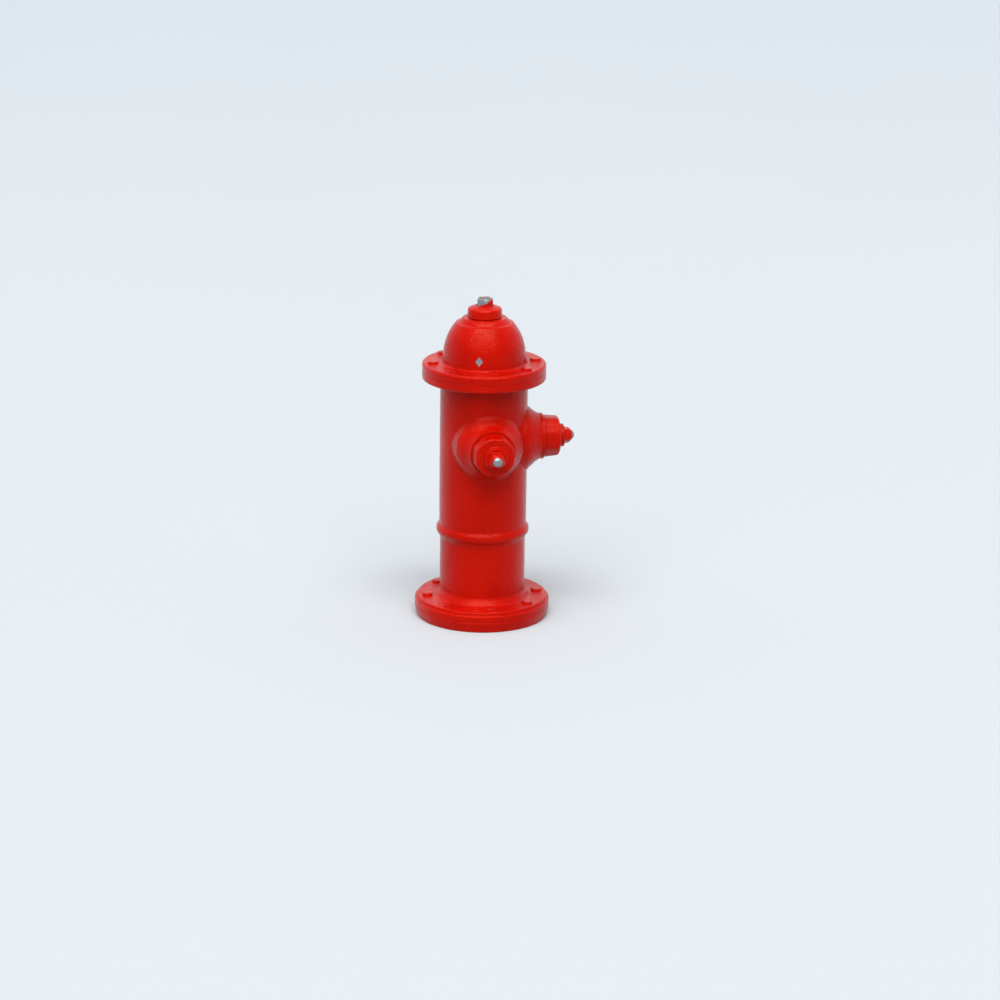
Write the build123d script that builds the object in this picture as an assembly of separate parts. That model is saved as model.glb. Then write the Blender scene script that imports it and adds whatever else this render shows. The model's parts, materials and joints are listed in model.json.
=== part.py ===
"""Dry-barrel fire hydrant with three hose outlets, millimetres, +Z up.

The origin is the centre of the underside. The front outlet points along -Y, the side outlet
along +X and the rear outlet along +Y.
"""

from build123d import *
import os

# ---- Driving dimensions ----
HEIGHT = 762.0
UPPER_RADIUS = 102.0
LOWER_RADIUS = 100.0
BARREL_BORE = 89.0
BEAD_RADIUS = 108.5
BEAD_HEIGHT = 210.0

FOOT_RADIUS = 158.4
FOOT_STEP_RADIUS = 152.5
GROUND_FLANGE_THICKNESS = 25.0
GASKET_THICKNESS = 1.5
FOOT_TOP = 48.0
INLET_RADIUS = 76.0
THROAT_TOP = 36.0

FLANGE_RADIUS = 144.0
FLANGE_BOTTOM = 571.5
JOINT_HEIGHT = 590.0
FLANGE_TOP = 611.0

BOLTS = 8
BOLT_RADIUS = 7.9
TAPPED_RADIUS = 8.0
CLEARANCE_HOLE = 8.5
BOLT_HEAD_RADIUS = 13.86
BONNET_BOLT_CIRCLE = 120.0
FOOT_BOLT_CIRCLE = 130.0
FOOT_BOLT_HEAD = 5.5
BONNET_BOLT_HEAD = 5.0
MOUNT_HOLE_RADIUS = 7.0
MOUNT_HOLE_DEPTH = 15.0

OUTLETS = {"front": -90.0, "side": 0.0, "rear": 90.0}
OUTLET_HEIGHT = 428.0
BOSS_END = 132.0
BOSS_RADIUS = 54.0
NOZZLE_BORE = 31.75
NOZZLE_THREAD = 38.5
NOZZLE_ROOT = 44.0
NOZZLE_FLANGE_END = 139.0
NOZZLE_END = 165.0
CAP_END = 176.0
CAP_STEP_END = 189.0
CAP_NUT_END = 213.5
NUT_RADIUS = 20.0
THREAD_CLEARANCE = 0.3

STEM_RADIUS = 15.875
STEM_THREAD_RADIUS = 14.0
STROKE = 38.1
RUNNING_CLEARANCE = 0.05

SEAT_FACE = 178.0
SEAT_BORE = 63.0
LEDGE_BORE = 74.0
LEDGE_TOP = 206.0
PORT_HEIGHT = 190.0
PORT_ANGLES = (45.0, 135.0)
COUPLING_CENTRE = 301.0

SHOULDER_HEIGHT = 662.3
HOUSING_BOTTOM = 616.0
HOUSING_BORE = 26.0
HOUSING_RADIUS = 38.0
WEB_BOTTOM = 684.0
LEDGE_HEIGHT = 690.0
BONNET_BORE = 33.0
BONNET_TOP = 718.0
NUT_BOTTOM = 673.6
SHAFT_RADIUS = 20.95
SHIELD_BOTTOM = 719.5
SHIELD_TOP = 744.0


# ---- Shape helpers ----
def outline_face(points):
    """Face in the XZ plane through (a, b) points; (a, b, c, d) is reached by an arc through (c, d)."""
    edges = []
    here = points[0][:2]
    for point in points[1:] + points[:1]:
        start = (here[0], 0, here[1])
        end = (point[0], 0, point[1])
        if len(point) == 4:
            edges.append(ThreePointArc(start, (point[2], 0, point[3]), end))
        else:
            edges.append(Line(start, end))
        here = point[:2]
    return make_face(edges)


def turned(*points):
    """Solid of revolution about Z of a closed (radius, height) outline."""
    return revolve(outline_face(list(points)), Axis.Z)


def rod(radius, bottom, top):
    """Upright round rod."""
    return Pos(0, 0, bottom) * Cylinder(radius, top - bottom, align=(Align.CENTER, Align.CENTER, Align.MIN))


def ring(inner, outer, bottom, top):
    """Upright ring of rectangular section."""
    return rod(outer, bottom, top) - rod(inner, bottom, top)


def seal(radius, section, height):
    """Round-section seal ring."""
    return Pos(0, 0, height) * Torus(radius, section)


def around(shape, count, radius, first=0.0):
    """Copies of a shape spaced evenly on a circle about Z."""
    return [Rot(0, 0, first + 360.0 / count * i) * Pos(radius, 0, 0) * shape for i in range(count)]


def polygon(radius, sides, bottom, top, turn=0.0, taper=0.0):
    """Upright prism on a regular polygon of the given corner radius."""
    base = Rot(0, 0, turn) * RegularPolygon(radius, sides)
    return Pos(0, 0, bottom) * extrude(base, top - bottom, taper=taper)


def group(shapes):
    """One node made of several separate solids."""
    return Compound(children=[solid for shape in shapes for solid in shape.solids()])


def at_outlet(angle, shape):
    """Turns a shape built up the Z axis to point out of the outlet at this angle."""
    return Pos(0, 0, OUTLET_HEIGHT) * Rot(0, 0, angle) * Rot(0, 90, 0) * shape


def hex_bolt(seat, end, head):
    """Hexagon bolt, head above its seat, with the corners of its head turned off."""
    blank = polygon(BOLT_HEAD_RADIUS, 6, seat, seat + head)
    turning = turned(
        (0, seat),
        (BOLT_HEAD_RADIUS, seat),
        (BOLT_HEAD_RADIUS, seat + head - 1.2),
        (BOLT_HEAD_RADIUS - 2.2, seat + head),
        (0, seat + head),
    )
    return (blank & turning) + rod(BOLT_RADIUS, end, seat)


# ---- Castings ----
def flare():
    """Outlet boss, built up the Z axis from inside the barrel wall."""
    return turned(
        (0, 40),
        (88, 40),
        (85, 84),
        (74.5, 105.5, 81.8, 98.2),
        (55.5, 128, 63.9, 115.8),
        (BOSS_RADIUS, 129.5),
        (BOSS_RADIUS, BOSS_END),
        (0, BOSS_END),
    )


def barrel():
    """Barrel casting: stepped foot flange, bead, top flange and outlet bosses, bored through."""
    foot = GROUND_FLANGE_THICKNESS + GASKET_THICKNESS
    body = turned(
        (0, foot),
        (FOOT_RADIUS - 1, foot),
        (FOOT_RADIUS, foot + 1),
        (FOOT_RADIUS, 38.5),
        (FOOT_RADIUS - 2, 40.5, FOOT_RADIUS - 0.6, 39.9),
        (FOOT_STEP_RADIUS, 40.5),
        (FOOT_STEP_RADIUS, FOOT_TOP - 3),
        (FOOT_STEP_RADIUS - 3, FOOT_TOP, FOOT_STEP_RADIUS - 0.9, FOOT_TOP - 0.9),
        (114, FOOT_TOP),
        (LOWER_RADIUS, FOOT_TOP + 14, LOWER_RADIUS + 4.1, FOOT_TOP + 4.1),
        (LOWER_RADIUS, BEAD_HEIGHT - 21),
        (LOWER_RADIUS + 3, BEAD_HEIGHT - 13),
        (UPPER_RADIUS, BEAD_HEIGHT + 13, BEAD_RADIUS, BEAD_HEIGHT + 1),
        (UPPER_RADIUS, FLANGE_BOTTOM - 4),
        (UPPER_RADIUS + 4, FLANGE_BOTTOM, UPPER_RADIUS + 1.2, FLANGE_BOTTOM - 1.2),
        (FLANGE_RADIUS - 4, FLANGE_BOTTOM),
        (FLANGE_RADIUS, FLANGE_BOTTOM + 4, FLANGE_RADIUS - 1.2, FLANGE_BOTTOM + 1.2),
        (FLANGE_RADIUS, JOINT_HEIGHT - 1),
        (FLANGE_RADIUS - 1, JOINT_HEIGHT),
        (0, JOINT_HEIGHT),
    )
    for angle in OUTLETS.values():
        body += at_outlet(angle, flare())
    body -= turned(
        (0, foot),
        (INLET_RADIUS, foot),
        (INLET_RADIUS, THROAT_TOP),
        (BARREL_BORE - 1, THROAT_TOP + 12),
        (BARREL_BORE - 1, SEAT_FACE),
        (LEDGE_BORE, SEAT_FACE),
        (LEDGE_BORE, LEDGE_TOP),
        (BARREL_BORE, LEDGE_TOP),
        (BARREL_BORE, JOINT_HEIGHT),
        (0, JOINT_HEIGHT),
    )
    passage = rod(34, 60, 97) + rod(NOZZLE_ROOT, 96, BOSS_END)
    passage += ring(45, 48.2, BOSS_END - 3, BOSS_END)
    passage += Pos(51.2, 0, 0) * rod(2.05, 123, BOSS_END)
    for angle in OUTLETS.values():
        body -= at_outlet(angle, passage)
    for hole in around(rod(TAPPED_RADIUS, JOINT_HEIGHT - 16, JOINT_HEIGHT), BOLTS, BONNET_BOLT_CIRCLE):
        body -= hole
    for hole in around(rod(CLEARANCE_HOLE, foot, FOOT_TOP), BOLTS, FOOT_BOLT_CIRCLE):
        body -= hole
    for port in drain_ports(LEDGE_BORE - 2, LOWER_RADIUS + 5):
        body -= port
    return body


def drain_ports(inner, outer):
    """Level drillings that let the barrel drain once the valve is shut."""
    return [
        Pos(0, 0, PORT_HEIGHT) * Rot(0, 0, angle) * Rot(0, 90, 0) * rod(4, inner, outer) for angle in PORT_ANGLES
    ]


def bonnet():
    """Domed bonnet with its flange and the housing round the stem."""
    bottom = JOINT_HEIGHT + GASKET_THICKNESS
    body = turned(
        (HOUSING_BORE, HOUSING_BOTTOM),
        (HOUSING_RADIUS, HOUSING_BOTTOM),
        (HOUSING_RADIUS, 682),
        (44, 688, 39.8, 686.2),
        (54, 690),
        (82, 640, 74.5, 671.5),
        (85, bottom),
        (FLANGE_RADIUS - 1, bottom),
        (FLANGE_RADIUS, bottom + 1),
        (FLANGE_RADIUS, FLANGE_TOP - 6),
        (FLANGE_RADIUS - 6, FLANGE_TOP, FLANGE_RADIUS - 1.8, FLANGE_TOP - 1.8),
        (102, FLANGE_TOP),
        (97.2, FLANGE_TOP + 5, 98.7, FLANGE_TOP + 1.6),
        (95.4, 637),
        (66.7, 705, 86.4, 673.5),
        (59, 706.5),
        (49, BONNET_TOP - 1),
        (47.5, BONNET_TOP),
        (BONNET_BORE, BONNET_TOP),
        (BONNET_BORE, LEDGE_HEIGHT),
        (22, LEDGE_HEIGHT),
        (22, WEB_BOTTOM),
        (HOUSING_BORE, WEB_BOTTOM),
    )
    for hole in around(rod(CLEARANCE_HOLE, bottom, FLANGE_TOP), BOLTS, BONNET_BOLT_CIRCLE):
        body -= hole
    for hole in around(rod(3.05, HOUSING_BOTTOM, HOUSING_BOTTOM + 14), 4, 31.5, 45):
        body -= hole
    return body


def ground_flange():
    """Lower flange that the barrel bolts down to, with blind holes in its underside."""
    top = GROUND_FLANGE_THICKNESS
    body = turned(
        (INLET_RADIUS, 0),
        (152, 0),
        (154, 2),
        (FOOT_RADIUS, top - 4),
        (FOOT_RADIUS, top - 2),
        (FOOT_RADIUS - 2, top, FOOT_RADIUS - 0.6, top - 0.6),
        (INLET_RADIUS, top),
    )
    for hole in around(rod(TAPPED_RADIUS, 6, top), BOLTS, FOOT_BOLT_CIRCLE):
        body -= hole
    for hole in around(rod(MOUNT_HOLE_RADIUS, 0, MOUNT_HOLE_DEPTH), BOLTS, FOOT_BOLT_CIRCLE, 22.5):
        body -= hole
    return body


def flange_gasket(inner, outer, bottom, circle):
    """Flat gasket with clearance holes for the bolts."""
    body = ring(inner, outer, bottom, bottom + GASKET_THICKNESS)
    for hole in around(rod(CLEARANCE_HOLE, bottom, bottom + GASKET_THICKNESS), BOLTS, circle):
        body -= hole
    return body


# ---- Operating gear in the bonnet ----
def operating_nut():
    """Five-sided nut, its shaft, thrust collar and the blind bore that turns on the stem thread."""
    body = rod(21.95, NUT_BOTTOM, 692.1) + rod(31.5, 692.1, 699.9) + rod(SHAFT_RADIUS, 699.9, SHIELD_TOP - 1)
    head = polygon(NUT_RADIUS, 5, SHIELD_TOP - 1, HEIGHT, turn=-90)
    head &= turned(
        (0, SHIELD_TOP - 1),
        (NUT_RADIUS + 1, SHIELD_TOP - 1),
        (NUT_RADIUS + 1, HEIGHT - 3.5),
        (NUT_RADIUS - 3, HEIGHT),
        (0, HEIGHT),
    )
    return body + head - rod(STEM_THREAD_RADIUS + RUNNING_CLEARANCE, NUT_BOTTOM, 738.6)


def weather_shield():
    """Shallow conical cover fixed round the operating nut."""
    return turned(
        (SHAFT_RADIUS, 739.5),
        (23, 739.5),
        (35, 736),
        (37.2, 733),
        (37.2, SHIELD_BOTTOM),
        (39.6, SHIELD_BOTTOM),
        (39.2, 736.5),
        (37.2, 739.6),
        (24, SHIELD_TOP),
        (SHAFT_RADIUS, SHIELD_TOP),
    )


def hold_down_nut():
    """Nut screwed into the bonnet that keeps the operating nut down."""
    body = rod(BONNET_BORE - RUNNING_CLEARANCE, 702, BONNET_TOP) + polygon(36, 6, BONNET_TOP, 728)
    body -= rod(SHAFT_RADIUS + RUNNING_CLEARANCE, 702, 728)
    body -= ring(20, 24.2, 710, 713.2)
    return body - ring(29.8, 34, 704, 707.2)


def packing_plate():
    """Plate that closes the stem housing and carries the stem seals."""
    body = rod(HOUSING_RADIUS, 606, HOUSING_BOTTOM) + rod(HOUSING_BORE - RUNNING_CLEARANCE, HOUSING_BOTTOM, 622)
    body -= rod(19.05 + RUNNING_CLEARANCE, 606, 622)
    for bottom in (607.0, 611.6):
        body -= ring(18, 22.7, bottom, bottom + 3.6)
    body -= ring(22.9, 27, 617.4, 620.6)
    for hole in around(rod(3.05, 606, HOUSING_BOTTOM), 4, 31.5, 45):
        body -= hole
    return body


def packing_plate_screws():
    """Four small screws with round heads below the plate."""
    screw = rod(3, 606, HOUSING_BOTTOM + 12) + rod(5, 601, 606)
    return group(around(screw, 4, 31.5, 45))


# ---- Stem ----
def cross_hole(height, radius):
    """Level drilling along Y through the stem and its coupling."""
    return Pos(0, 0, height) * Rot(90, 0, 0) * Cylinder(radius, 60)


def pin_heights():
    """Heights of the two coupling pins."""
    return (COUPLING_CENTRE - 20, COUPLING_CENTRE + 20)


def upper_stem():
    """Round stem with a shoulder and a reduced threaded end."""
    body = rod(STEM_RADIUS, COUPLING_CENTRE + 1, SHOULDER_HEIGHT)
    body += rod(STEM_THREAD_RADIUS, SHOULDER_HEIGHT, 737.6)
    return body - cross_hole(pin_heights()[1], 4.05)


def lower_stem():
    """Round stem down to the valve."""
    return rod(STEM_RADIUS, 126, COUPLING_CENTRE - 1) - cross_hole(pin_heights()[0], 4.05)


def stem_coupling():
    """Breakable sleeve over the two stem ends, waisted where it is meant to part."""
    body = turned(
        (STEM_RADIUS + RUNNING_CLEARANCE, 262),
        (22.5, 262),
        (24, 263.5),
        (24, 295),
        (20, 301, 21.2, 297.8),
        (24, 307, 21.2, 304.2),
        (24, 338.5),
        (22.5, 340),
        (STEM_RADIUS + RUNNING_CLEARANCE, 340),
    )
    for height in pin_heights():
        body -= cross_hole(height, 4.05)
    return body


def coupling_pins():
    """Two headed pins through the coupling, drilled for their cotters."""
    pin = rod(4, -29, 24.3) + rod(6.5, 24.3, 27.3)
    pin -= Pos(0, 0, -26.5) * Rot(0, 90, 0) * Cylinder(1.25, 20)
    return group([Pos(0, 0, height) * Rot(90, 0, 0) * pin for height in pin_heights()])


def coupling_cotters():
    """Round cotters through the ends of the pins."""
    cotter = Rot(0, 90, 0) * Cylinder(1.2, 16)
    return group([Pos(0, 26.5, height) * cotter for height in pin_heights()])


# ---- Main valve ----
def wing_cylinder(outer):
    """Bounds the wings of the upper valve plate."""
    return rod(outer, SEAT_FACE - 0.3, 238)


def upper_valve_plate():
    """Plate above the rubber, with four wings that slide in the seat ring."""
    body = rod(60, SEAT_FACE - 0.3, 186) + rod(24, 186, 240)
    arm = Pos(0, 0, 186) * Box(62.7, 14, 52, align=(Align.MIN, Align.CENTER, Align.MIN))
    for quarter in range(4):
        angle = 45.0 + 90.0 * quarter
        reach = 59.5 if angle in PORT_ANGLES else SEAT_BORE - THREAD_CLEARANCE
        body += (Rot(0, 0, angle) * arm) & wing_cylinder(reach)
    return body - rod(STEM_RADIUS + RUNNING_CLEARANCE, SEAT_FACE - 0.3, 240)


def drain_facings():
    """Two facings on the wings, which cover the drain ports as the valve opens."""
    strip = Pos(0, 0, 196) * Box(66, 14, 40, align=(Align.MIN, Align.CENTER, Align.MIN))
    shell = ring(59.5, SEAT_BORE - THREAD_CLEARANCE, 196, 236)
    return group([(Rot(0, 0, angle) * strip) & shell for angle in PORT_ANGLES])


def main_valve():
    """Thick rubber disc that shuts against the seat ring from below."""
    bore = STEM_RADIUS + RUNNING_CLEARANCE
    top = SEAT_FACE - 0.3
    return turned((bore, 158), (66, 158), (70, 162), (70, top - 3), (68, top), (bore, top))


def lower_valve_plate():
    """Plate below the rubber."""
    bore = STEM_RADIUS + RUNNING_CLEARANCE
    return turned((bore, 140), (32, 140), (58, 150), (58, 158), (bore, 158))


def lower_valve_nut():
    """Closed hexagon nut that holds the valve on the stem."""
    return polygon(29, 6, 122, 140) - rod(STEM_RADIUS + RUNNING_CLEARANCE, 126, 140)


def seat_ring():
    """Ring screwed into the ledge in the barrel."""
    body = turned(
        (SEAT_BORE, SEAT_FACE),
        (LEDGE_BORE - RUNNING_CLEARANCE, SEAT_FACE),
        (LEDGE_BORE - RUNNING_CLEARANCE, LEDGE_TOP),
        (84, LEDGE_TOP),
        (84, LEDGE_TOP + 8),
        (66, LEDGE_TOP + 8),
        (SEAT_BORE, LEDGE_TOP + 4),
    )
    for bottom in (181.0, 198.0):
        body -= ring(70.8, 76, bottom, bottom + 3.2)
    for port in drain_ports(SEAT_BORE - 3, LEDGE_BORE + 3):
        body -= port
    return body


# ---- Outlets, built up the Z axis ----
def hose_nozzle():
    """Nozzle screwed into its boss, with a flange and an outside hose thread."""
    body = turned(
        (NOZZLE_BORE, 96.3),
        (NOZZLE_ROOT - 0.1, 96.3),
        (NOZZLE_ROOT - 0.1, BOSS_END),
        (BOSS_RADIUS - 0.5, BOSS_END),
        (BOSS_RADIUS, BOSS_END + 0.5),
        (BOSS_RADIUS, NOZZLE_FLANGE_END - 1.5),
        (BOSS_RADIUS - 1.5, NOZZLE_FLANGE_END),
        (NOZZLE_THREAD, NOZZLE_FLANGE_END),
        (NOZZLE_THREAD, NOZZLE_END - 1.5),
        (NOZZLE_THREAD - 1.5, NOZZLE_END),
        (NOZZLE_BORE, NOZZLE_END),
    )
    return body - Pos(51.2, 0, 0) * rod(2.05, BOSS_END, NOZZLE_FLANGE_END)


def lock_screw():
    """Headless screw that stops the nozzle from turning."""
    return Pos(51.2, 0, 0) * rod(2, 124, NOZZLE_FLANGE_END - 0.8)


def cap():
    """Eight-sided hose cap with a round step and a five-sided nut."""
    skirt = NOZZLE_FLANGE_END + 0.6
    body = polygon(52, 8, skirt, CAP_END, turn=22.5, taper=5.0)
    body &= turned(
        (0, skirt),
        (50.5, skirt),
        (52, skirt + 1.5),
        (52, CAP_END - 8),
        (43.5, CAP_END),
        (0, CAP_END),
    )
    body += turned((0, CAP_END), (27, CAP_END), (27, CAP_STEP_END - 2), (25, CAP_STEP_END), (0, CAP_STEP_END))
    head = polygon(NUT_RADIUS, 5, CAP_STEP_END, CAP_NUT_END, turn=180)
    head &= turned(
        (0, CAP_STEP_END),
        (NUT_RADIUS + 1, CAP_STEP_END),
        (NUT_RADIUS + 1, CAP_NUT_END - 3),
        (NUT_RADIUS - 2.5, CAP_NUT_END),
        (0, CAP_NUT_END),
    )
    body += head
    thread = NOZZLE_THREAD + THREAD_CLEARANCE
    inside = turned(
        (0, skirt),
        (thread + 1.5, skirt),
        (thread, skirt + 1.5),
        (thread, NOZZLE_END + 3.6),
        (0, NOZZLE_END + 3.6),
    )
    return body - inside


def cap_gasket():
    """Flat rubber ring between the nozzle's end and the cap."""
    bottom = NOZZLE_END + THREAD_CLEARANCE
    return ring(32.4, NOZZLE_THREAD - 0.1, bottom, bottom + 3)


# ---- Assembly ----
def pieces():
    """Every piece by its node name."""
    foot_seat = GROUND_FLANGE_THICKNESS
    made = {
        "barrel": barrel(),
        "bonnet": bonnet(),
        "bonnet_gasket": flange_gasket(91, FLANGE_RADIUS - 0.6, JOINT_HEIGHT, BONNET_BOLT_CIRCLE),
        "bonnet_bolts": group(
            around(hex_bolt(FLANGE_TOP, JOINT_HEIGHT - 14, BONNET_BOLT_HEAD), BOLTS, BONNET_BOLT_CIRCLE)
        ),
        "ground_flange": ground_flange(),
        "foot_gasket": flange_gasket(INLET_RADIUS, FOOT_RADIUS - 0.8, foot_seat, FOOT_BOLT_CIRCLE),
        "foot_bolts": group(around(hex_bolt(FOOT_TOP, 8, FOOT_BOLT_HEAD), BOLTS, FOOT_BOLT_CIRCLE)),
        "operating_nut": operating_nut(),
        "weather_shield": weather_shield(),
        "hold_down_nut": hold_down_nut(),
        "hold_down_seal": seal(31.4, 1.5, 705.6),
        "nut_shaft_seal": seal(22.6, 1.5, 711.6),
        "lower_thrust_washer": ring(22.5, 32.5, LEDGE_HEIGHT, LEDGE_HEIGHT + 2),
        "upper_thrust_washer": ring(22.5, 32.5, 700, 702),
        "packing_plate": packing_plate(),
        "packing_plate_screws": packing_plate_screws(),
        "packing_plate_seal": seal(24.45, 1.5, 619),
        "stem_seals": group([seal(20.9, 1.75, 608.8), seal(20.9, 1.75, 613.4)]),
        "upper_stem": upper_stem(),
        "stem_sleeve": ring(STEM_RADIUS + RUNNING_CLEARANCE, 19.05, 600, SHOULDER_HEIGHT),
        "travel_stop_nut": ring(STEM_THREAD_RADIUS + RUNNING_CLEARANCE, 23, SHOULDER_HEIGHT, 672.5),
        "stem_coupling": stem_coupling(),
        "coupling_pins": coupling_pins(),
        "coupling_cotters": coupling_cotters(),
        "lower_stem": lower_stem(),
        "upper_valve_plate": upper_valve_plate(),
        "drain_facings": drain_facings(),
        "main_valve": main_valve(),
        "lower_valve_plate": lower_valve_plate(),
        "lower_valve_nut": lower_valve_nut(),
        "seat_ring": seat_ring(),
        "seat_ring_seals": group([seal(72.4, 1.5, 182.6), seal(72.4, 1.5, 199.6)]),
        "nozzle_lock_screws": group([at_outlet(angle, lock_screw()) for angle in OUTLETS.values()]),
    }
    for name, angle in OUTLETS.items():
        made[name + "_nozzle"] = at_outlet(angle, hose_nozzle())
        made[name + "_nozzle_seal"] = at_outlet(angle, seal(46.6, 1.5, BOSS_END - 1.5))
        made[name + "_cap"] = at_outlet(angle, cap())
        made[name + "_cap_gasket"] = at_outlet(angle, cap_gasket())
    return made


os.makedirs("parts", exist_ok=True)
for node, shape in pieces().items():
    export_step(shape, "parts/" + node + ".step")
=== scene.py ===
"""Looks of a dry-barrel fire hydrant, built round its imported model.

Outlines are written in millimetres and become metres when a mesh is made. A piece of an outlet is
turned about Z, then laid along its outlet's axis.
"""

import json
import math

import bmesh
import bpy
import numpy as np
from bpy.props import FloatProperty, FloatVectorProperty, IntProperty, PointerProperty
from mathutils import Matrix, Quaternion, Vector, noise


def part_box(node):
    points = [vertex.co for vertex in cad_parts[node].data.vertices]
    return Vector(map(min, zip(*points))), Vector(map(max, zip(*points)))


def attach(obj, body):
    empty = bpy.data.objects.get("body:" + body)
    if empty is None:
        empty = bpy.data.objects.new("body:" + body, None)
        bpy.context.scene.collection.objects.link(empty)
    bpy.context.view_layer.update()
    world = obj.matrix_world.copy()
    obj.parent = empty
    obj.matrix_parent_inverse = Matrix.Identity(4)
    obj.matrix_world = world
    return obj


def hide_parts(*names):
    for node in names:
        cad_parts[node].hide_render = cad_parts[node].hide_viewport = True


bl_info = {
    "name": "Fire hydrant",
    "version": (1, 0, 0),
    "blender": (4, 5, 0),
    "location": "View3D > Sidebar > Hydrant",
    "description": "Builds a painted iron fire hydrant and its studio round the packed model",
    "category": "Add Mesh",
}

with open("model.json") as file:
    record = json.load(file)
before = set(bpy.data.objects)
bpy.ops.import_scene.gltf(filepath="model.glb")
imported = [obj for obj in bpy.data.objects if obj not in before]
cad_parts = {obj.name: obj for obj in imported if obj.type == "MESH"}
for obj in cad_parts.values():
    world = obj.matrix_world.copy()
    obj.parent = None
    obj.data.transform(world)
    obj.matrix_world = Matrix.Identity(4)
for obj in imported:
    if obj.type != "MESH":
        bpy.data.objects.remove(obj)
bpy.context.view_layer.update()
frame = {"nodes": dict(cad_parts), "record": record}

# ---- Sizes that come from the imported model, in millimetres ----
GROUND_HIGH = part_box("ground_flange")[1] * 1000
BARREL_LOW, BARREL_HIGH = (corner * 1000 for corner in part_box("barrel"))
BONNET_LOW, BONNET_HIGH = (corner * 1000 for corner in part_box("bonnet"))
NUT_LOW, NUT_HIGH = (corner * 1000 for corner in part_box("operating_nut"))
SHIELD_LOW, SHIELD_HIGH = (corner * 1000 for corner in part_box("weather_shield"))
NOZZLE_LOW, NOZZLE_HIGH = (corner * 1000 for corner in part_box("side_nozzle"))
CAP_LOW, CAP_HIGH = (corner * 1000 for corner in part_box("side_cap"))
FOOT_BOLT_LOW, FOOT_BOLT_HIGH = (corner * 1000 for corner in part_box("foot_bolts"))
TOP_BOLT_LOW, TOP_BOLT_HIGH = (corner * 1000 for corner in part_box("bonnet_bolts"))
HEIGHT = NUT_HIGH.z
JOINT = BARREL_HIGH.z
FOOT = BARREL_LOW.z
OUTLET_Z = (NOZZLE_LOW.z + NOZZLE_HIGH.z) / 2
OUTLETS = {"front": -90.0, "side": 0.0, "rear": 90.0}
ROUND, PENTAGON, HEXAGON, OCTAGON = range(4)
SIDES = (0, 5, 6, 8)
BOLT_CORNER = 13.86
PORT_RADIUS, PORT_HEIGHT = 4, 190


# ---- What a user may change ----
class HydrantSizes(bpy.types.PropertyGroup):
    """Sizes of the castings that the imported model's boxes do not give."""

    upper_radius: FloatProperty(
        name="Upper barrel", description="Radius above the bead", default=0.102, unit="LENGTH",
    )
    lower_radius: FloatProperty(
        name="Lower barrel", description="Radius below the bead", default=0.1, unit="LENGTH",
    )
    bead_radius: FloatProperty(
        name="Bead", description="Radius of the bead", default=0.1085, unit="LENGTH",
    )
    bead_height: FloatProperty(
        name="Bead height", description="Height of the bead", default=0.21, unit="LENGTH",
    )
    step_radius: FloatProperty(
        name="Foot step", description="Radius of the foot's step", default=0.1525, unit="LENGTH",
    )
    foot_top: FloatProperty(
        name="Foot top", description="Top of the foot flange", default=0.048, unit="LENGTH",
    )
    boss_radius: FloatProperty(
        name="Boss", description="Radius of an outlet boss", default=0.054, unit="LENGTH",
    )
    boss_end: FloatProperty(
        name="Boss end", description="Reach of a boss from the axis", default=0.132,
        unit="LENGTH",
    )
    web: FloatProperty(
        name="Boss web", description="Softness where bosses meet the barrel", default=0.013,
        unit="LENGTH",
    )
    unevenness: FloatProperty(
        name="Unevenness", description="Depth of the waves in the castings", default=0.0003,
        unit="LENGTH",
    )
    columns: IntProperty(name="Columns", description="Faces round a casting", default=288)


class HydrantColours(bpy.types.PropertyGroup):
    """Paint and metal colours."""

    enamel: FloatVectorProperty(
        name="Enamel", description="Red enamel", subtype="COLOR", size=3,
        default=(0.395, 0.003, 0.0),
    )
    enamel_deep: FloatVectorProperty(
        name="Deep enamel", description="Enamel where it is thick", subtype="COLOR", size=3,
        default=(0.34, 0.0018, 0.0),
    )
    bare: FloatVectorProperty(
        name="Bare metal", description="Metal where the enamel is gone", subtype="COLOR", size=3,
        default=(0.26, 0.295, 0.31),
    )
    bronze: FloatVectorProperty(
        name="Bronze", description="Machined bronze", subtype="COLOR", size=3,
        default=(0.46, 0.29, 0.13),
    )
    floor: FloatVectorProperty(
        name="Floor", description="Studio floor", subtype="COLOR", size=3,
        default=(0.409, 0.420, 0.436),
    )
    # The far floor colour is painted shade: darker and bluer to stand in for light falling off with distance.
    floor_far: FloatVectorProperty(
        name="Far floor", description="Studio floor in the distance", subtype="COLOR", size=3,
        default=(0.342, 0.370, 0.392),
    )


class HydrantStage(bpy.types.PropertyGroup):
    """Camera and light."""

    lens: FloatProperty(name="Lens", description="Focal length in mm", default=120.3)
    distance: FloatProperty(
        name="Distance", description="Camera to its aim", default=7.831, unit="LENGTH",
    )
    azimuth: FloatProperty(
        name="Azimuth", description="Camera's turn about the hydrant",
        default=math.radians(-9.5), subtype="ANGLE",
    )
    elevation: FloatProperty(
        name="Elevation", description="Camera's angle above level", default=math.radians(17.05),
        subtype="ANGLE",
    )
    roll: FloatProperty(
        name="Roll", description="Camera's tilt", default=math.radians(0.707), subtype="ANGLE",
    )
    aim_side: FloatProperty(
        name="Aim to the side", description="Aim point right of the axis", default=0.0403,
        unit="LENGTH",
    )
    aim_height: FloatProperty(
        name="Aim height", description="Height of the aim point", default=0.2763, unit="LENGTH",
    )
    window_turn: FloatProperty(
        name="Window turn", description="Window's turn from the camera",
        default=math.radians(-3), subtype="ANGLE",
    )
    window_rise: FloatProperty(
        name="Window rise", description="Window's angle above level", default=math.radians(54),
        subtype="ANGLE",
    )
    window_light: FloatProperty(
        name="Window light", description="Radiance of the window", default=4.1,
    )
    lamp_light: FloatProperty(
        name="Lamp light", description="Radiance of the lamp in the window", default=14.0,
    )
    room_light: FloatProperty(
        name="Room light", description="Radiance of the sides and back", default=0.85,
    )


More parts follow.
